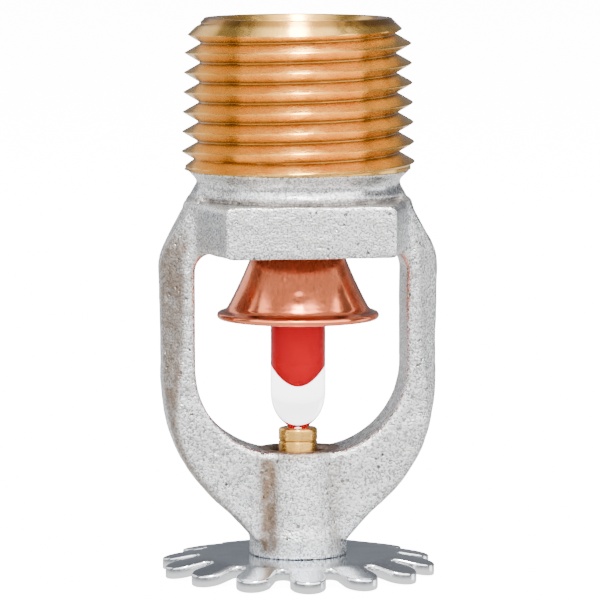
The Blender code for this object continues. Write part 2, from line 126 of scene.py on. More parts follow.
class Shader:
    """A Principled material, with short calls for the nodes that feed it."""

    def __init__(self, name, **settings):
        self.material = bpy.data.materials.new(name)
        self.material.use_nodes = True
        self.tree = self.material.node_tree
        self.principled = self.tree.nodes["Principled BSDF"]
        for key, value in settings.items():
            self.principled.inputs[key.replace("_", " ")].default_value = value
        place = self.node("ShaderNodeTexCoord").outputs["Object"]
        self.mm = self.vector("SCALE", place, 1 / MM)

    def node(self, kind, **settings):
        made = self.tree.nodes.new(kind)
        for key, value in settings.items():
            setattr(made, key, value)
        return made

    def feed(self, socket, value):
        if isinstance(value, bpy.types.NodeSocket):
            self.tree.links.new(value, socket)
        else:
            socket.default_value = value

    def set(self, name, value):
        self.feed(self.principled.inputs[name], value)

    def math(self, operation, a, b=0.0, clamp=False):
        made = self.node("ShaderNodeMath", operation=operation, use_clamp=clamp)
        self.feed(made.inputs[0], a)
        self.feed(made.inputs[1], b)
        return made.outputs[0]

    def vector(self, operation, a, b=None):
        made = self.node("ShaderNodeVectorMath", operation=operation)
        self.feed(made.inputs[0], a)
        if operation == "SCALE":
            self.feed(made.inputs["Scale"], b)
        elif b is not None:
            self.feed(made.inputs[1], b)
        return made.outputs["Value" if operation == "LENGTH" else "Vector"]

    def noise(self, scale, detail=2.0, roughness=0.5, place=None):
        made = self.node("ShaderNodeTexNoise")
        self.feed(made.inputs["Vector"], place or self.mm)
        made.inputs["Scale"].default_value = scale
        made.inputs["Detail"].default_value = detail
        made.inputs["Roughness"].default_value = roughness
        return made.outputs["Fac"]

    def cells(self, scale):
        """Distance to the middle of the nearest cell."""
        made = self.node("ShaderNodeTexVoronoi")
        self.feed(made.inputs["Vector"], self.mm)
        made.inputs["Scale"].default_value = scale
        return made.outputs["Distance"]

    def ramp(self, value, low, high, start=0.0, end=1.0):
        """Smooth step from start, where value is low, to end, where it is high."""
        made = self.node("ShaderNodeMapRange", interpolation_type="SMOOTHSTEP")
        self.feed(made.inputs["Value"], value)
        for key, number in zip(("From Min", "From Max", "To Min", "To Max"), (low, high, start, end)):
            made.inputs[key].default_value = number
        return made.outputs["Result"]

    def mix(self, share, a, b):
        made = self.node("ShaderNodeMix", data_type="RGBA")
        self.feed(made.inputs[0], share)
        self.feed(made.inputs[6], a if isinstance(a, bpy.types.NodeSocket) else (*a, 1))
        self.feed(made.inputs[7], b if isinstance(b, bpy.types.NodeSocket) else (*b, 1))
        return made.outputs[2]

    def attribute(self, name):
        """Number that paint() stored on the points."""
        return self.node("ShaderNodeAttribute", attribute_name=name).outputs["Fac"]

    def bump(self, height, distance, strength=1.0, normal=None):
        """Height is 0 to 1 and distance is its depth in millimetres."""
        made = self.node("ShaderNodeBump")
        self.feed(made.inputs["Height"], height)
        self.feed(made.inputs["Strength"], strength)
        made.inputs["Distance"].default_value = distance * MM
        if normal:
            self.feed(made.inputs["Normal"], normal)
        return made.outputs["Normal"]

    def turned_place(self, around):
        """Coordinates for lathe marks: fine along the profile, slow around the axis."""
        split = self.node("ShaderNodeSeparateXYZ")
        self.feed(split.inputs[0], self.mm)
        flat = self.node("ShaderNodeCombineXYZ")
        self.feed(flat.inputs[0], split.outputs[0])
        self.feed(flat.inputs[1], split.outputs[1])
        radius = self.vector("LENGTH", flat.outputs[0])
        joined = self.node("ShaderNodeCombineXYZ")
        self.feed(joined.inputs[0], self.math("MULTIPLY", split.outputs[0], around))
        self.feed(joined.inputs[1], self.math("MULTIPLY", split.outputs[1], around))
        self.feed(joined.inputs[2], self.math("ADD", split.outputs[2], radius))
        return joined.outputs[0]


def plated_casting():
    """Satin plating on rough sand-cast brass, stained brown in its folds, with painted shade there as well,
    heavier on the left.
    """
    s = Shader("plated_casting", Metallic=1.0)
    grain = s.attribute("grain")
    stain_and_shade = s.attribute("stain_and_shade")
    fine = s.noise(5.6, 2.0, 0.6)
    coarse = s.noise(1.1, 3.0, 0.5)
    specks = s.ramp(fine, 0.40, 0.58)
    pits = s.ramp(s.cells(1.2), 0.22, 0.13)
    pits = s.math("MULTIPLY", pits, s.ramp(s.noise(0.8), 0.50, 0.58))
    pits = s.math("MULTIPLY", pits, grain)
    plate = s.mix(specks, (0.34, 0.34, 0.34), (0.98, 0.98, 0.98))
    plate = s.mix(s.ramp(coarse, 0.45, 0.7, 0.0, 0.30), plate, (0.66, 0.62, 0.56))
    plate = s.mix(s.math("MULTIPLY", pits, 0.85), plate, (0.10, 0.09, 0.08))
    # Brown used both for staining and for painted shade, mixed in where make_casting paints the mask.
    rust_and_shade = s.mix(s.noise(3.0, 3.0), (0.085, 0.05, 0.03), (0.33, 0.235, 0.165))
    share = s.math("MULTIPLY", stain_and_shade, s.ramp(s.noise(1.2, 3.0, 0.6), 0.30, 0.60, 0.75, 1.0))
    s.set("Base Color", s.mix(share, plate, rust_and_shade))
    rough = s.ramp(coarse, 0.3, 0.7, 0.22, 0.32)
    s.set("Roughness", s.math("ADD", rough, s.math("MULTIPLY", share, 0.15)))
    height = s.math("ADD", s.math("MULTIPLY", fine, 0.5), s.math("MULTIPLY", coarse, 0.8))
    height = s.math("SUBTRACT", height, s.math("MULTIPLY", pits, 0.6))
    strength = s.ramp(grain, 0.0, 1.0, 0.15, 1.0)
    s.set("Normal", s.bump(height, 0.18, strength))
    return s.material


def bare_brass(name, colour, dark, marks, roughness):
    """Turned brass: fine lathe marks, a slow change of tone, and painted shade, dark brown, in its grooves.
    """
    s = Shader(name, Metallic=1.0, Anisotropic=0.85, Anisotropic_Rotation=0.25)
    s.set("Tangent", s.node("ShaderNodeTangent", direction_type="RADIAL", axis="Z").outputs[0])
    place = s.turned_place(0.12)
    lines = s.noise(9.0, 2.0, 0.6, place)
    tone = s.noise(0.35, 2.0, 0.5)
    painted_light = s.attribute("painted_light")
    base = s.mix(s.ramp(tone, 0.3, 0.7), colour, tuple(c * k for c, k in zip(colour, (0.93, 0.86, 0.72))))
    speckle = s.ramp(s.noise(1.3, 4.0, 0.7), 0.64, 0.74, 0.0, 0.25)
    # Random dark specks, and painted shade where the pieces mark it.
    base = s.mix(s.math("MAXIMUM", painted_light, speckle), base, dark)
    s.set("Base Color", base)
    s.set("Roughness", s.ramp(lines, 0.25, 0.75, roughness - 0.05, roughness + 0.08))
    s.set("Normal", s.bump(lines, marks, 0.5))
    return s.material


def copper():
    """Satin copper pressing, with faint spinning lines and slightly darker patches."""
    s = Shader("copper", Metallic=1.0)
    place = s.turned_place(0.10)
    lines = s.noise(5.0, 2.0, 0.55, place)
    patches = s.noise(0.45, 3.0, 0.55)
    base = s.mix(s.ramp(patches, 0.35, 0.70), (0.95, 0.25, 0.11), (0.90, 0.22, 0.09))
    # Painted shade, placed by make_cap: a dark band under the boss and a dark line just above the rim.
    base = s.mix(s.attribute("painted_light"), base, (0.26, 0.07, 0.03))
    s.set("Base Color", base)
    s.set("Roughness", s.ramp(lines, 0.3, 0.7, 0.14, 0.21))
    s.set("Normal", s.bump(lines, 0.012, 0.6, s.bump(s.noise(1.3, 2.0), 0.05, 0.25)))
    return s.material


def bright_plate():
    """Polished plating on stamped sheet, with faint scratches and painted highlights on its edges."""
    s = Shader("plated_sheet", Metallic=1.0)
    clouds = s.noise(0.28, 3.0, 0.5)
    scratch = s.noise(2.5, 2.0, 0.5, s.vector("MULTIPLY", s.mm, (0.35, 3.5, 1.0)))
    edge = s.attribute("painted_light")
    base = s.mix(s.ramp(clouds, 0.3, 0.7), (0.50, 0.55, 0.62), (0.66, 0.70, 0.75))
    # Painted highlight: the rounded edges are lighter, near white.
    s.set("Base Color", s.mix(edge, base, (0.90, 0.91, 0.92)))
    s.set("Roughness", s.ramp(scratch, 0.3, 0.8, 0.10, 0.20))
    s.set("Normal", s.bump(scratch, 0.004, 0.5, s.bump(clouds, 0.08, 0.3)))
    return s.material


def steel(name, colour, roughness):
    """Dull turned steel, for the pieces inside."""
    s = Shader(name, Metallic=1.0)
    lines = s.noise(7.0, 2.0, 0.5, s.turned_place(0.1))
    s.set("Base Color", s.mix(s.ramp(lines, 0.3, 0.7), colour, tuple(0.8 * c for c in colour)))
    s.set("Roughness", s.ramp(lines, 0.3, 0.7, roughness - 0.05, roughness + 0.08))
    s.set("Normal", s.bump(lines, 0.008, 0.5))
    return s.material


def ptfe():
    """Pale, slightly cloudy film."""
    s = Shader("ptfe")
    cloud = s.noise(1.2, 3.0)
    s.set("Base Color", s.mix(cloud, (0.82, 0.83, 0.83), (0.90, 0.90, 0.89)))
    s.set("Roughness", s.ramp(cloud, 0.3, 0.7, 0.38, 0.55))
    s.set("Normal", s.bump(cloud, 0.01, 0.4))
    return s.material


def glass():
    """Clear glass with a faint ripple, and painted shade, darker where it is seen edge-on."""
    s = Shader("bulb_glass", Roughness=0.0, IOR=1.25, Transmission_Weight=1.0)
    ripple = s.noise(0.5, 1.0, 0.4, s.vector("MULTIPLY", s.mm, (1.0, 1.0, 0.25)))
    clear = s.mix(ripple, (0.97, 0.985, 0.985), (1.0, 1.0, 1.0))
    edge = s.node("ShaderNodeLayerWeight")
    edge.inputs["Blend"].default_value = 0.25
    # Painted shade: the base colour turns grey where the glass is seen edge-on.
    s.set("Base Color", s.mix(s.ramp(edge.outputs["Facing"], 0.35, 0.9), clear, (0.16, 0.165, 0.175)))
    s.set("Normal", s.bump(ripple, 0.01, 0.3))
    return s.material


def red_liquid():
    """Opaque red, without gloss of its own, because the glass round it carries the gloss."""
    s = Shader("red_liquid", Roughness=0.0, IOR=1.36, Transmission_Weight=0.0, Specular_IOR_Level=0.0)
    depth = s.noise(0.25, 1.0)
    s.set("Base Color", s.mix(depth, (0.23, 0.0004, 0.003), (0.26, 0.0006, 0.0036)))
    return s.material


# ---------------------------------------------------------------- mesh helpers

def show(name, mesh, material, body, node, smooth):
    """Makes a shown piece of a mesh, riding on a body and standing for a CAD node."""
    mesh.shade_smooth()
    if smooth:
        mesh.set_sharp_from_angle(angle=math.radians(smooth))
    mesh.materials.append(material)
    piece = bpy.data.objects.new(name, mesh)
    bpy.context.scene.collection.objects.link(piece)
    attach(piece, body)
    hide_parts(node)
    return piece


def new_piece(name, points, faces, material, body, node, smooth=35):
    """Makes a shown piece from points in millimetres. Edges sharper than smooth degrees stay sharp."""
    mesh = bpy.data.meshes.new(name)
    mesh.from_pydata(np.asarray(points) * MM, [], faces)
    mesh.validate()
    return show(name, mesh, material, body, node, smooth)


def paint(piece, name, values):
    """Stores one number for each point, which the material reads."""
    layer = piece.data.attributes.new(name, "FLOAT", "POINT")
    layer.data.foreach_set("value", np.asarray(values, np.float32))


def points_of(piece):
    """Points of a piece in millimetres, one row each."""
    flat = np.empty(3 * len(piece.data.vertices), np.float32)
    piece.data.vertices.foreach_get("co", flat)
    return flat.reshape(-1, 3) / MM


def rise(value, low, high):
    """Smooth step from 0 at low to 1 at high."""
    t = np.clip((value - low) / (high - low), 0, 1)
    return t * t * (3 - 2 * t)


def near(value, centre, width):
    """Soft peak: 1 at centre, fading to 0 a few widths away."""
    return np.exp(-((value - centre) / width) ** 2)


def arc(centre, radii, start, end, count):
    """Points on part of an ellipse, between two angles in degrees."""
    angles = np.radians(np.linspace(start, end, count + 1))
    return [(centre[0] + radii[0] * math.cos(a), centre[1] + radii[1] * math.sin(a)) for a in angles]


def bezier(p0, p1, p2, p3, count):
    """Points on a cubic curve from p0 to p3."""
    t = np.linspace(0, 1, count + 1)[:, None]
    p0, p1, p2, p3 = (np.array(p, float) for p in (p0, p1, p2, p3))
    curve = (1 - t) ** 3 * p0 + 3 * t * (1 - t) ** 2 * p1 + 3 * t * t * (1 - t) * p2 + t ** 3 * p3
    return [tuple(p) for p in curve]


def eased(profile, closed=False):
    """Rounds a profile's corners. A point is (radius, height) or (radius, height, rounding)."""
    made = []
    count = len(profile)
    for i, point in enumerate(profile):
        here = Vector(point[:2])
        size = point[2] if len(point) > 2 else 0.0
        if not size or (not closed and i in (0, count - 1)):
            made.append(tuple(here))
            continue
        before = Vector(profile[i - 1][:2]) - here
        after = Vector(profile[(i + 1) % count][:2]) - here
        reach = min(size, 0.48 * before.length, 0.48 * after.length)
        start = here + before.normalized() * reach
        end = here + after.normalized() * reach
        for k in range(CORNER_STEPS + 1):
            t = k / CORNER_STEPS
            made.append(tuple(start * (1 - t) ** 2 + here * 2 * t * (1 - t) + end * t * t))
    return made


def spun(name, profile, material, body, node, closed=False, steps=128, smooth=35):
    """Turns a profile, outer side top to bottom, about Z. An open profile starts and ends on the axis."""
    line = eased(profile, closed)
    turn = np.arange(steps) * 2 * math.pi / steps
    points, rings = [], []
    for r, z in line:
        if r < 1e-6:
            rings.append([len(points)] * steps)
            points.append((0, 0, z))
        else:
            rings.append(list(range(len(points), len(points) + steps)))
            points += [(r * math.cos(a), r * math.sin(a), z) for a in turn]
    faces = []
    pairs = list(zip(rings, rings[1:])) + ([(rings[-1], rings[0])] if closed else [])
    for upper, lower in pairs:
        for i in range(steps):
            j = (i + 1) % steps
            corners = [upper[i], lower[i], lower[j], upper[j]]
            face = [c for k, c in enumerate(corners) if c != corners[k - 1]]
            if len(face) > 2:
                faces.append(face)
    return new_piece(name, points, faces, material, body, node, smooth)


# ---------------------------------------------------------------- casting as a distance field

def polygon_distance(x, y, corners):
    """Signed distance to a closed outline, negative inside."""
    nearest = np.full(np.broadcast(x, y).shape, 1e9)
    inside = np.zeros(nearest.shape, bool)
    for (ax, ay), (bx, by) in zip(corners, corners[1:] + corners[:1]):
        ex, ey = bx - ax, by - ay
        along = np.clip(((x - ax) * ex + (y - ay) * ey) / (ex * ex + ey * ey + 1e-12), 0, 1)
        nearest = np.minimum(nearest, (x - ax - ex * along) ** 2 + (y - ay - ey * along) ** 2)
        if ey:
            inside ^= ((ay <= y) != (by <= y)) & (x < ax + (y - ay) * ex / ey)
    return np.where(inside, -1, 1) * np.sqrt(nearest)


def join(a, b, blend):
    """Union with a fillet."""
    near = np.maximum(blend - np.abs(a - b), 0) / blend
    return np.minimum(a, b) - near * near * blend / 4


def meet(a, b, blend):
    """Intersection with a rounded edge."""
    return -join(-a, -b, blend)


def yoke_outline():
    """Outer outline of arms, shoulders and foot, seen from the front."""
    foot = [(4.3, 3.3), (4.6, 3.7), (5.58, 4.85)]
    sweep = bezier((6.6, 5.9), (10.6, 9.3), (12.8, 12.6), (12.75, 20.0), 24)
    shoulder = bezier((12.97, 28.5), (12.97, 30.0), (12.45, 30.8), (11.94, 31.66), 8)
    right = foot + sweep + [(12.93, 27.2)] + shoulder + [(9.3, 36.2), (6.0, 36.2)]
    return right + [(-x, z) for x, z in reversed(right)]


def window_outline():
    """The opening between the arms, boss and knuckle."""
    corner = (WINDOW_HALF_WIDTH - WINDOW_CORNER_R, BOSS_BOTTOM + 0.1 - WINDOW_CORNER_R)
    lower = (WINDOW_HALF_WIDTH - WINDOW_LOWER_R, WINDOW_BOTTOM + WINDOW_LOWER_R)
    radii = (WINDOW_LOWER_R, WINDOW_LOWER_R)
    small = (WINDOW_CORNER_R, WINDOW_CORNER_R)
    outline = arc((-lower[0], lower[1]), radii, 180, 270, 32) + arc(lower, radii, 270, 360, 32)
    return outline + arc(corner, small, 0, 90, 12) + arc((-corner[0], corner[1]), small, 90, 180, 12)


# Height and width of the bevel at the outer side of an arm
BEVEL_WIDTHS = {
    0: 0.3, 11.4: 0.4, 13.5: 0.5, 15.6: 0.9, 18: 1.3, 22: 1.9, 29: 2.1, 31: 1.6, 33: 0.8, 35: 0.4,
}


def bevel_width(z):
    """Width of the slanted outer face of an arm: widest beside the window, narrow down the sweep."""
    return np.interp(z, list(BEVEL_WIDTHS), list(BEVEL_WIDTHS.values()))


# Radius and height of each corner of the turned shapes
NECK_PROFILE = [
    (0, 37.75), (10.32, 37.75), (10.32, 37.66), (9.62, 37.0), (9.38, 36.65), (9.32, 36.3),
    (9.38, 35.95), (9.54, 35.65), (9.58, 35.48), (9.48, 35.3), (9.12, 35.16), (9.12, 31.5), (0, 31.5),
]
KNUCKLE_PROFILE = [
    (0, KNUCKLE_TOP), (3.62, KNUCKLE_TOP), (3.85, KNUCKLE_TOP - 0.25), (4.15, 8.0), (4.35, 4.8),
    (4.55, 3.6), (4.55, 1.86), (3.3, 1.86), (3.3, 0.7), (3.9, 0.7), (3.75, 0.3), (0, 0.3),
]
WATERWAY_PROFILE = [
    (0, 40), (BORE_R, 40), (BORE_R, 38.6), (5.6, 36.2), (5.6, SEAT), (6.2, SEAT), (6.2, SEAT + 0.5),
    (7.0, SEAT + 0.5), (7.0, 29), (0, 29),
]
SCREW_BORE_PROFILE = [(0, 12.7), (3.87, 12.7), (2.57, 11.42), (2.57, -1), (0, -1)]


def spun_distance(profile, radius, heights):
    """Distance to a turned solid, through a table over radius that is read at each column."""
    step = 0.05  # millimetres between two readings
    table_r = np.arange(0, radius.max() + 2 * step, step)
    mirrored = profile + [(-r, z) for r, z in reversed(profile)]
    table = polygon_distance(table_r[:, None], heights[None, :], mirrored).astype(np.float32)
    place = radius / step
    index = place.astype(int)
    share = (place - index).astype(np.float32)[:, :, None]
    return table[index] * (1 - share) + table[index + 1] * share


def waviness(shape, seed, lattice):
    """Smooth random field from -1 to 1, one random number every lattice steps."""
    numbers = np.random.default_rng(seed)
    field = numbers.uniform(-1, 1, [n // lattice + 3 for n in shape]).astype(np.float32)
    for axis, count in enumerate(shape):
        place = np.arange(count) / lattice
        index = place.astype(int)
        share = place - index
        share = (share * share * (3 - 2 * share)).astype(np.float32)
        share = share.reshape([-1 if k == axis else 1 for k in range(3)])
        field = np.take(field, index, axis) * (1 - share) + np.take(field, index + 1, axis) * share
    return field


def casting_points():
    """Points and quads of the casting below the thread."""
    origin = np.array(GRID_LOW)
    shape = [int(round(span / VOXEL)) for span in GRID_SPAN]
    x, y, z = (origin[k] + VOXEL * np.arange(shape[k]) for k in range(3))
    radius = np.hypot(x[:, None], y[None, :])
    depth = np.abs(y)[None, :, None]

    outline = polygon_distance(x[:, None], z[None, :], yoke_outline())[:, None, :].astype(np.float32)
    window = polygon_distance(x[:, None], z[None, :], window_outline())[:, None, :].astype(np.float32)
    face = (depth - ARM_HALF_DEPTH).astype(np.float32)
    arms = meet(np.maximum(outline, -window), face, 0.3)
    half = math.sqrt(0.5)
    arms = meet(arms, (outline + face + bevel_width(z)[None, None, :].astype(np.float32)) * half, 0.35)
    arms = meet(arms, (face - window + 0.3) * half, 0.2)

    side = Vector((FLAT_Y - BOSS_SIDE[1], BOSS_SIDE[0] - FLAT_HALF_WIDTH)).normalized()
    offset = side.x * FLAT_HALF_WIDTH + side.y * FLAT_Y
    flank = (side.x * np.abs(x)[:, None, None] + side.y * depth - offset).astype(np.float32)
    pad = meet(flank, (depth - FLAT_Y).astype(np.float32), 0.5)
    level = np.maximum(z - BOSS_TOP - 0.05, BOSS_BOTTOM - z)[None, None, :].astype(np.float32)
    boss = meet(pad, level, 0.7)

    body = join(boss, spun_distance(NECK_PROFILE, radius, z), 0.12)
    body = join(body, arms, 0.6)
    body = join(body, spun_distance(KNUCKLE_PROFILE, radius, z), 0.35)
    body += 0.045 * waviness(shape, 5, 9) + 0.02 * waviness(shape, 6, 4)
    body = meet(body, -spun_distance(WATERWAY_PROFILE, radius, z), 0.1)
    body = meet(body, -spun_distance(SCREW_BORE_PROFILE, radius, z), 0.1)

    grid = openvdb.FloatGrid(1.0)
    grid.copyFromArray(np.clip(body, -1, 1).astype(np.float32))
    points, quads = grid.convertToQuads(0.0)
    return np.asarray(points) * VOXEL + origin, np.asarray(quads)


def stain_and_shade_on_casting(x, y, z):
    """Brown staining and painted shade, 0 to 1: on the slanted faces and folds, more on the left, and in the
    corners, the crevice under the neck and the screw's bore.
    """
    depth, radius = np.abs(y), np.hypot(x, y)
    outer = polygon_distance(x, z, yoke_outline())
    # Slanted outer faces of the arms: partly stained brown, partly painted shade, much heavier on the left
    # arm.
    bevel = rise(outer + depth - ARM_HALF_DEPTH + bevel_width(z), -0.35, 0.05)
    bevel *= (1 - rise(z, 30.5, 33.5)) * (1 - rise(depth, 2.95, 3.1))
    bevel *= rise(-outer, -0.2, 0.12)
    left = rise(-x, 0, 2)
    # Folds beside the knuckle: stained brown on the left, painted shade on both sides.
    fold = near(np.abs(x), 3.1, 0.8) * rise(depth, 2.2, 2.9) * rise(-y, 0, 1)
    fold *= rise(z, 1.8, 3.0) * (1 - rise(z, 10.6, 11.5))
    # Darker in the window's upper corners.
    corner = near(z, 29.9, 0.8) * near(np.abs(x), 9.2, 0.9) * (1 - rise(depth, 2.6, 2.95))
    # Painted shade in the crevice between the neck and the boss, above the flat.
    crevice = 0.55 * near(z, 35.12, 0.2) * rise(radius, 8.8, 9.0)
    # Darker round and inside the bore for the load screw.
    bore = rise(3.95 - radius, 0, 0.2) * rise(z, 9, 10) * (1 - rise(z, 14, 16))
    stain_and_shade = bevel * (0.15 + 0.75 * left) + fold * (0.35 + 1.1 * left) + 0.6 * corner + bore + crevice
    return np.clip(stain_and_shade, 0, 1)


def make_casting():
    """The casting, stained brown and with painted shade, and with its grain, which is weaker on the boss's
    sides and the neck.
    """
    points, quads = casting_points()
    piece = new_piece(
        "frame_casting", points, quads.tolist(), plated_casting(), "frame", "frame", 0
    )
    x, y, z = points_of(piece).T
    paint(piece, "stain_and_shade", stain_and_shade_on_casting(x, y, z))
    depth = np.abs(y)
    flank = rise(np.abs(x), FLAT_HALF_WIDTH - 0.1, FLAT_HALF_WIDTH + 0.4) * rise(depth, 3.1, 3.6)
    smooth = np.maximum(flank * rise(z, 29, 30), rise(z, 35.2, 36.0))
    paint(piece, "grain", 1 - 0.85 * smooth)
    return piece


# ---------------------------------------------------------------- inlet thread

def thread_radius(angle, z):
    """Radius of the tapered thread: sharp crests, slightly flat roots, chamfered at the inlet."""
    phase = (z - FIRST_CREST) / PITCH - angle / (2 * math.pi)
    away = np.abs(phase - np.round(phase)) * 2
    crest = CREST_AT_INLET + (INLET - z) * TAPER
    height = THREAD_DEPTH * np.clip((FLANK_END - away) / FLANK_SHARE, 0, 1)
    radius = crest - THREAD_DEPTH + height
    radius = np.minimum(radius, CHAMFER_R + np.clip(INLET - z, 0, 9))
    runout = COLLAR_R + 0.02 - np.clip(z - COLLAR - 0.12, 0, 9) * RUNOUT_SLOPE
    return np.maximum(radius, np.where(z < COLLAR + 2, runout, 0))


def thread_surface():
    """Helical rows of points, so that every crest and root lies on an edge."""
    rows_per_pitch, columns = 28, 288
    low = THREAD_FOOT
    count = int((INLET - low) / PITCH * rows_per_pitch) + 2 * rows_per_pitch
    angle = np.arange(columns) * 2 * math.pi / columns
    row = np.arange(count)[:, None]
    start = FIRST_CREST - math.ceil((FIRST_CREST - low) / PITCH + 1) * PITCH
    z = start + PITCH * (angle[None, :] / (2 * math.pi) + row / rows_per_pitch)
    z = np.clip(z, low, INLET)
    radius = thread_radius(angle[None, :], z)
    points = np.stack((radius * np.cos(angle), radius * np.sin(angle), z), -1).reshape(-1, 3)
    faces = []
    for j in range(count - 1):
        for i in range(columns):
            k, up = (i + 1, 0) if i < columns - 1 else (0, rows_per_pitch)
            if j + 1 + up < count:
                here, beside = j * columns + i, (j + up) * columns + k
                faces.append((here, beside, beside + columns, here + columns))
    return points, faces


def open_ring(form, level):
    """Points of the open edge at a height, in order round the axis, so that each run builds the same mesh."""
    open_edges = [e for e in form.edges if e.is_boundary]
    ring = {v for e in open_edges for v in e.verts if abs(v.co.z / MM - level) < 0.02}
    return sorted(ring, key=lambda v: math.atan2(v.co.y, v.co.x))


def add_band(form, upper, lower):
    for i in range(len(upper)):
        form.faces.new((upper[i - 1], upper[i], lower[i], lower[i - 1]))


def make_inlet_thread(material):
    """Thread, rim and bore as one closed surface, with painted shade in the roots of the thread."""
    points, faces = thread_surface()
    mesh = bpy.data.meshes.new("inlet_thread")
    mesh.from_pydata(points * MM, [], faces)
    form = bmesh.new()
    form.from_mesh(mesh)
    bmesh.ops.remove_doubles(form, verts=form.verts, dist=0.002 * MM)
    bmesh.ops.dissolve_degenerate(form, edges=form.edges, dist=0.001 * MM)
    ring, foot = open_ring(form, INLET), open_ring(form, THREAD_FOOT)
    for r, z in eased([(8.6, INLET), (7.4, INLET, 0.1), (BORE_R, INLET - 0.6, 0.1), (BORE_R, THREAD_FOOT)]):
        following = []
        for v in ring:
            scale = r * MM / math.hypot(v.co.x, v.co.y)
            following.append(form.verts.new((v.co.x * scale, v.co.y * scale, z * MM)))
        add_band(form, ring, following)
        ring = following
    add_band(form, ring, foot)
    bmesh.ops.recalc_face_normals(form, faces=form.faces)
    form.to_mesh(mesh)
    form.free()
    piece = show("inlet_thread", mesh, material, "frame", "frame", 30)
    x, y, z = points_of(piece).T
    radius = np.hypot(x, y)
    crest = CREST_AT_INLET + (INLET - z) * TAPER
    # Painted shade: the roots of the thread are dark.
    root = rise(crest - radius, 1.0, 1.45) * (radius > 8.4)
    paint(piece, "painted_light", 0.8 * root)
    return piece


# ---------------------------------------------------------------- deflector

def star_outline(inset):
    """Counter-clockwise star outline moved inwards by inset, with round tips and round slot roots."""
    pitch = 2 * math.pi / TINES
    points = []
    for k in range(TINES):
        middle = -math.pi / 2 + TINE_TURN + k * pitch
        tip = DEFLECTOR_R - TINE_TIP_R
        for turn in np.radians(np.linspace(-90, 90, 17)):
            reach = TINE_TIP_R - inset
            points.append((tip + reach * math.cos(turn), reach * math.sin(turn), middle))
        root = SLOT_ROOT_R + SLOT_ROOT_WIDTH / 2
        for turn in np.radians(np.linspace(-90, 90, 11)):
            reach = SLOT_ROOT_WIDTH / 2 + inset
            points.append((root - reach * math.cos(turn), reach * math.sin(turn), middle + pitch / 2))
    return [(a * math.cos(m) - b * math.sin(m), a * math.sin(m) + b * math.cos(m)) for a, b, m in points]


def bent_height(radius):
    """Height of the plate's top: flat hub, then teeth bent down over a soft bend."""
    soft = 1.2
    beyond = radius - BEND_R
    slope = math.tan(BEND)
    eased_part = slope * np.clip(beyond + soft / 2, 0, soft) ** 2 / (2 * soft)
    return HUB_TOP - eased_part - slope * np.clip(beyond - soft / 2, 0, 99)


def ring_of_points(radius, count):
    """Points evenly round a circle about the axis."""
    return [(radius * math.cos(a), radius * math.sin(a)) for a in np.arange(count) * 2 * math.pi / count]


def deflector_face(outline, hole):
    """Fine triangulation between the star and the hole, with rings and tine rows of points inside it."""
    fill = []
    for r in (4.6, 6.2, 7.6, 8.2, 8.5, 8.8):
        fill += ring_of_points(r, int(r * 12))
    for k in range(TINES):
        middle = -math.pi / 2 + TINE_TURN + k * 2 * math.pi / TINES
        out_x, out_y = math.cos(middle), math.sin(middle)
        for r in (9.1, 9.4, 9.9, 10.6, 11.4, 12.1):
            for side in (-0.6, 0.0, 0.6):
                fill.append((r * out_x - side * out_y, r * out_y + side * out_x))
    star, ring = len(outline), len(hole)
    border = [(i, (i + 1) % star) for i in range(star)]
    border += [(star + (i + 1) % ring, star + i) for i in range(ring)]
    flat, _, triangles, *_ = delaunay_2d_cdt([Vector(p) for p in outline + hole + fill], border, [], 1, 1e-6)
    flat = np.array([tuple(p) for p in flat])
    kept = []
    for a, b, c in triangles:
        x, y = flat[[a, b, c]].mean(0)
        if np.hypot(x, y) > DEFLECTOR_HOLE_R and polygon_distance(x, y, outline) < 0:
            (ux, uy), (vx, vy) = flat[b] - flat[a], flat[c] - flat[a]
            kept.append((a, b, c) if ux * vy - uy * vx > 0 else (a, c, b))
    return flat, kept


def make_deflector(material):
    """Plate with the same fine face above and below, joined by rounded edges and the hole's wall."""
    outline = star_outline(DEFLECTOR_EDGE)
    hole = ring_of_points(DEFLECTOR_HOLE_R, 96)
    flat, triangles = deflector_face(outline, hole)
    height = bent_height(np.hypot(flat[:, 0], flat[:, 1]))
    top = np.column_stack((flat, height))
    bottom = np.column_stack((flat, height - PLATE))
    points = list(map(tuple, top)) + list(map(tuple, bottom))
    count = len(flat)
    faces = triangles + [(count + a, count + c, count + b) for a, b, c in triangles]
    n = len(outline)
    rows = [list(range(n))]
    for half, turns in ((0, np.linspace(0, 90, 5)[1:]), (1, np.linspace(90, 180, 5)[:-1])):
        for turn in np.radians(turns):
            drop = DEFLECTOR_EDGE * (1 - abs(math.cos(turn)))
            below = PLATE - drop if half else drop
            rows.append(list(range(len(points), len(points) + n)))
            for x, y in star_outline(DEFLECTOR_EDGE * (1 - math.sin(turn))):
                points.append((x, y, float(bent_height(np.hypot(x, y)) - below)))
    rows.append([count + i for i in range(n)])
    for upper, lower in zip(rows, rows[1:]):
        faces += [(upper[i], lower[i], lower[(i + 1) % n], upper[(i + 1) % n]) for i in range(n)]
    m = len(hole)
    for i in range(m):
        j = (i + 1) % m
        faces.append((n + j, count + n + j, count + n + i, n + i))
    piece = new_piece("deflector_plate", points, faces, material, "frame", "deflector", 40)
    # Painted highlight: the points of the rounded outer edges are marked to be lighter.
    side = np.zeros(len(points))
    side[2 * count :] = 1.0
    paint(piece, "painted_light", side)
    return piece


# ---------------------------------------------------------------- small turned pieces

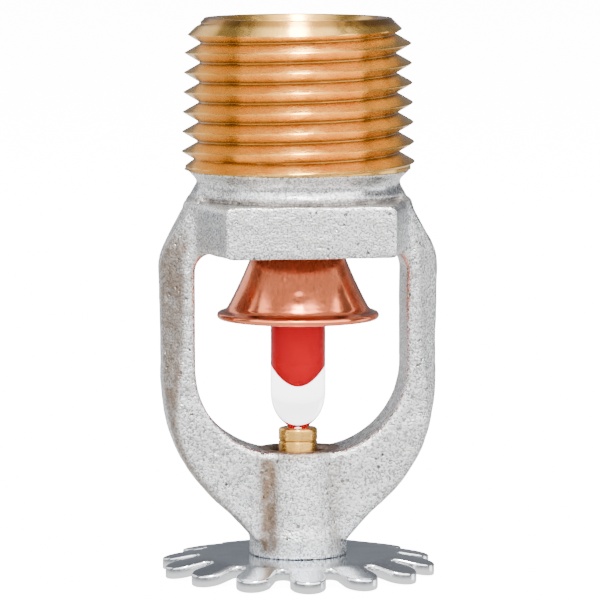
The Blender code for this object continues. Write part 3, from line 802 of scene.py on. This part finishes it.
def make_load_screw(material):
    """Slotted screw: conical cup, grooved nose, and a thread inside the knuckle."""
    core = SCREW_R - 0.49
    nose = 1.81
    profile = [
        (0, 12.7), (0.42, 12.7), (0.42, 13.02), (0.95, SCREW_TOP, 0.05), (nose - 0.14, SCREW_TOP, 0.06),
        (nose, SCREW_TOP - 0.16, 0.08), (nose, 12.52, 0.04), (nose - 0.09, 12.46, 0.04),
        (nose - 0.09, 12.38, 0.04), (nose, 12.32, 0.04), (nose, 11.3), (core, 11.0),
    ]
    crest = SCREW_R - 0.04
    z = 10.8
    while z > SCREW_BOTTOM + 1.0:
        profile += [(core, z), (crest, z - 0.36), (crest, z - 0.44), (core, z - 0.78)]
        z -= SCREW_PITCH
    profile += [(core, SCREW_BOTTOM + 0.15), (core - 0.15, SCREW_BOTTOM), (0, SCREW_BOTTOM)]
    piece = spun("load_screw_turned", profile, material, "load_screw", "load_screw")
    x, y, z = points_of(piece).T
    # Painted shade: dark in the ring cut round the nose and on the part inside the knuckle.
    dark = 0.5 * near(z, 12.42, 0.07) + rise(11.75 - z, -0.05, 0.15)
    paint(piece, "painted_light", np.clip(dark, 0, 1) * (np.hypot(x, y) > 1.0))
    cut_slot(piece, 0.8, 1.0)
    return piece


def cut_slot(piece, width, depth):
    """Driver slot across the screw's lower end."""
    bpy.ops.mesh.primitive_cube_add(size=1)
    cutter = bpy.context.object
    cutter.scale = (8 * MM, width * MM, 2 * depth * MM)
    cutter.location = (0, 0, SCREW_BOTTOM * MM)
    step = piece.modifiers.new("slot", "BOOLEAN")
    step.operation = "DIFFERENCE"
    step.object = cutter
    bpy.context.view_layer.update()
    graph = bpy.context.evaluated_depsgraph_get()
    piece.data = bpy.data.meshes.new_from_object(piece.evaluated_get(graph))
    piece.modifiers.clear()
    bpy.data.objects.remove(cutter)


def bulb_outer():
    """Outside of the bulb, from the pip at its upper end to its lower tip."""
    shoulder, rounding = 29.6, 2.2
    pip = 0.65
    start = math.degrees(math.acos(pip / BULB_R))
    line = [(0.2, PIP_TOP, 0.0), (pip - 0.1, PIP_TOP - 0.02, 0.12), (pip, PIP_TOP - 0.3, 0.1)]
    line += arc((0, shoulder), (BULB_R, rounding), start, 0, 28)
    line += bezier((BULB_R, 17.2), (BULB_R, 15.7), (2.12, 14.7), (1.22, 14.0), 28)
    return line + [(0.8, 13.56, 0.1), (0.33, 13.03, 0.15), (0, BULB_TIP)]


def cavity(grown):
    """Hollow of the bulb, top to bottom: rounded top and paraboloid lower end."""
    radius = CAVITY_R + grown
    low = CAVITY_BOTTOM - grown
    line = arc((0, 29.5), (radius, 1.7 + grown), 84, 0, 24)
    line += [(radius * k, low + (radius * k) ** 2 / CAVITY_R) for k in np.linspace(1, 0, 33)]
    return line


def make_bulb():
    """Glass shell, and the liquid that fills it and just overlaps its inside."""
    inner = cavity(0.0)
    inner[0] = (0.2, inner[0][1])
    line = inner[::-1] + bulb_outer()
    spun("glass_bulb_clear", line, glass(), "bulb", "glass_bulb", smooth=50)
    fill = cavity(0.004)
    fill.insert(0, (0, fill[0][1]))
    fill[-1] = (0, fill[-1][1])
    spun("bulb_liquid_red", fill, red_liquid(), "bulb", "bulb_liquid", smooth=60)


def make_cap(material):
    """Copper pressing with a small punch mark on its front."""
    neck, shoulder, foot = 4.1, 32.7, 25.0
    cone_foot = 6.48
    wall = 0.6
    lean = (cone_foot - neck) / (BOSS_BOTTOM - foot)
    inset = wall * math.hypot(1, lean)
    rim = 0.34
    outer = [(0, SPIGOT_TOP), (2.9, SPIGOT_TOP, 0.25), (2.9, shoulder, 0.1), (neck, shoulder, 0.25)]
    outer += [(neck, BOSS_BOTTOM, 0.3)]
    for t in np.linspace(0.06, 0.94, 40):
        hollow = 0.10 * math.sin(math.pi * t)
        outer.append((neck + (cone_foot - neck) * t - hollow, BOSS_BOTTOM + (foot - BOSS_BOTTOM) * t))
    outer += bezier((6.40, 25.18), (6.55, 24.85), (6.72, 24.62), (7.14, RIM_BOTTOM + 2 * rim), 8)
    outer += arc((RIM_R - rim, RIM_BOTTOM + rim), (rim, rim), 84, -90, 10)
    inner = [(6.35, RIM_BOTTOM, 0.1), (6.05, RIM_BOTTOM + 0.3, 0.1), (cone_foot - inset, foot, 0.1)]
    inner += [(neck - wall, BOSS_BOTTOM - 0.1, 0.1), (neck - wall, shoulder - wall, 0.1)]
    inner += [(2.3, shoulder - wall, 0.1), (2.3, SPIGOT_TOP - wall, 0.1), (0, SPIGOT_TOP - wall)]
    line = outer + inner
    piece = spun("pip_cap_copper", line, material, "valve", "pip_cap", steps=256, smooth=40)
    points = points_of(piece)
    mark = np.array((-0.62, -5.83, 26.45))
    away = np.linalg.norm(points - mark, axis=1)
    outside = np.hypot(points[:, 0], points[:, 1]) > 5.6
    dent = 0.10 * near(away, 0, 0.34) * outside
    points[:, :2] *= (1 - dent / 6.0)[:, None]
    piece.data.vertices.foreach_set("co", (points * MM).astype(np.float32).ravel())
    x, y, z = points.T
    radius = np.hypot(x, y)
    # Painted shade: a dark band under the boss and a dark line in the crease just above the rim.
    under_boss = 0.3 * rise(z, 28.4, 29.3) * (radius > neck - 0.1)
    above_rim = 0.6 * near(z, RIM_BOTTOM + 0.75, 0.10) * (radius > 6.6)
    paint(piece, "painted_light", np.maximum(under_boss, above_rim))
    return piece


def make_closure(copper_material):
    """The cap and what it holds: insert, attachment, spring washer and its two films."""
    make_cap(copper_material)
    insert = [
        (1.2, INSERT_TOP, 0.1), (INSERT_R, INSERT_TOP, 0.15), (INSERT_R, INSERT_BOTTOM, 0.1),
        (2.5, INSERT_BOTTOM, 0.08), (1.2, INSERT_BOTTOM + 0.86, 0.08),
    ]
    steel_look = steel("stainless_steel", (0.62, 0.61, 0.59), 0.25)
    spun("cap_insert_steel", insert, steel_look, "valve", "cap_insert", closed=True)
    inner = 2.93
    ceiling = ATTACHMENT_TOP - 0.6
    cover = [
        (0, ATTACHMENT_TOP), (inner, ATTACHMENT_TOP, 0.25), (ATTACHMENT_R, ATTACHMENT_TOP - 0.7, 0.25),
        (ATTACHMENT_R, ATTACHMENT_BOTTOM, 0.1), (inner, ATTACHMENT_BOTTOM, 0.05), (inner, ceiling, 0.1),
        (0, ceiling),
    ]
    brass = bare_brass("machined_brass", (0.78, 0.53, 0.24), (0.25, 0.14, 0.05), 0.01, 0.28)
    piece = spun("cap_attachment_brass", cover, brass, "valve", "pip_cap_attachment")
    paint(piece, "painted_light", np.zeros(len(piece.data.vertices)))
    film = ptfe()
    spring = steel("nickel_alloy", (0.52, 0.50, 0.46), 0.30)
    for node, look, slot in (
        ("belleville_washer", spring, "nickel_alloy"),
        ("seal_film_lower", film, "ptfe"),
        ("seal_film_upper", film, "ptfe"),
    ):
        outer, low, high = cad(node)
        dish = 0.06
        ring = [(2.95, high - dish, 0.03), (outer, high, 0.03), (outer, low + dish, 0.03), (2.95, low, 0.03)]
        spun(node + "_ring", ring, look, "valve", node, closed=True)


# ---------------------------------------------------------------- stage

def direction(azimuth, elevation):
    """Unit vector from the head. Azimuth is from the front, positive to the right, in degrees."""
    a, e = math.radians(azimuth), math.radians(elevation)
    return Vector((math.sin(a) * math.cos(e), -math.cos(a) * math.cos(e), math.sin(e)))


def make_camera():
    """Long lens, a little above the horizontal and a little to the left of the front."""
    distance = 0.417
    centre = Vector((0, 0, 0.0255))
    away = direction(-7.0, 6.1)
    data = bpy.data.cameras.new("camera")
    data.lens = 270
    data.sensor_width = 36
    data.clip_start = 0.01
    data.shift_x = 2 / 600
    camera = bpy.data.objects.new("camera", data)
    camera.location = centre + away * distance
    camera.rotation_euler = (-away).to_track_quat("-Z", "Y").to_euler()
    bpy.context.scene.collection.objects.link(camera)
    bpy.context.scene.camera = camera


def softbox(name, azimuth, elevation, distance, width, height, radiance, colour=(1, 1, 1)):
    """Area light that faces the head from a direction, hidden from the camera. Sizes in metres."""
    data = bpy.data.lights.new(name, "AREA")
    data.shape = "RECTANGLE"
    data.size = width
    data.size_y = height
    data.energy = radiance * math.pi * width * height
    data.color = colour
    light = bpy.data.objects.new(name, data)
    light.visible_camera = False
    centre = Vector((0, 0, 0.03))
    light.location = centre + direction(azimuth, elevation) * distance
    light.rotation_euler = (centre - light.location).to_track_quat("-Z", "Y").to_euler()
    bpy.context.scene.collection.objects.link(light)


def make_lights():
    """Broad boxes for the even light, and two small bright ones for the streak on the thread."""
    softbox("key_right", 47, 31, 0.75, 0.74, 0.84, 4.4)
    softbox("front", -5, 34, 0.75, 0.72, 1.00, 3.2)
    softbox("front_left", -55, 31, 0.75, 0.70, 0.84, 3.0, (0.97, 0.985, 1))
    softbox("edge_right", 98, -4, 0.80, 0.36, 0.26, 2.4, (0.90, 0.95, 1))
    softbox("high_strip", -7, 82, 0.80, 0.10, 0.44, 110.0, (1, 0.985, 0.96))
    softbox("high_front", -7, 54, 0.80, 0.18, 0.24, 55.0)
    softbox("rim_left", -130, 20, 0.80, 0.90, 0.60, 1.2)
    softbox("overhead", 0, 90, 0.90, 0.7, 0.7, 3.0)


def make_world():
    """Grey surroundings: bright below the head, and dark from the horizon up."""
    world = bpy.data.worlds.new("studio")
    bpy.context.scene.world = world
    world.use_nodes = True
    tree = world.node_tree
    place = tree.nodes.new("ShaderNodeTexCoord")
    split = tree.nodes.new("ShaderNodeSeparateXYZ")
    height = tree.nodes.new("ShaderNodeMapRange")
    height.inputs["From Min"].default_value = -1.0
    shade = tree.nodes.new("ShaderNodeValToRGB")
    tree.links.new(place.outputs["Generated"], split.inputs[0])
    tree.links.new(split.outputs["Z"], height.inputs["Value"])
    tree.links.new(height.outputs["Result"], shade.inputs[0])
    steps = shade.color_ramp.elements
    steps[0].position, steps[0].color = 0.40, (1.35, 1.35, 1.35, 1)
    steps[1].position, steps[1].color = 0.70, (0.24, 0.24, 0.25, 1)
    steps.new(0.475).color = (0.26, 0.285, 0.32, 1)
    back = tree.nodes["Background"]
    tree.links.new(shade.outputs[0], back.inputs["Color"])
    back.inputs["Strength"].default_value = 1.0


def make_floor(name, drop, glow):
    """Pale floor that curves up into a wall, which glows and isn't mirrored in polished metal."""
    look = Shader(name, Roughness=0.6)
    tone = look.noise(0.01, 2.0)
    look.set("Base Color", look.mix(tone, (0.90, 0.90, 0.90), (0.94, 0.94, 0.94)))
    look.principled.inputs["Emission Color"].default_value = (1, 1, 1, 1)
    look.principled.inputs["Emission Strength"].default_value = glow
    profile = [(0.0, 0.0), (3.0, 0.0)] + arc((3.0, 1.0), (1.0, 1.0), 270, 360, 12) + [(4.0, 3.0)]
    form = bmesh.new()
    line = [form.verts.new((r + drop, 0, z - drop)) for r, z in profile]
    line[0].co.x = 0
    edges = [form.edges.new(pair) for pair in zip(line, line[1:])]
    bmesh.ops.spin(form, geom=line + edges, axis=(0, 0, 1), cent=(0, 0, 0), steps=96, angle=2 * math.pi)
    bmesh.ops.remove_doubles(form, verts=form.verts, dist=0.0001)
    mesh = bpy.data.meshes.new(name)
    form.to_mesh(mesh)
    form.free()
    mesh.shade_smooth()
    mesh.materials.append(look.material)
    floor = bpy.data.objects.new(name, mesh)
    bpy.context.scene.collection.objects.link(floor)
    floor.visible_glossy = False
    floor.visible_diffuse = False
    return floor


def main():
    """Builds the pieces, then the studio round them."""
    make_casting()
    brass = bare_brass("turned_brass", (0.93, 0.545, 0.13), (0.26, 0.105, 0.02), 0.012, 0.26)
    make_inlet_thread(brass)
    make_deflector(bright_plate())
    make_load_screw(brass)
    make_bulb()
    make_closure(copper())
    make_camera()
    make_lights()
    make_world()
    make_floor("floor", 0.00005, 14.0).visible_transmission = False
    make_floor("seen_through_glass", 0.001, 4.0).visible_camera = False


main()
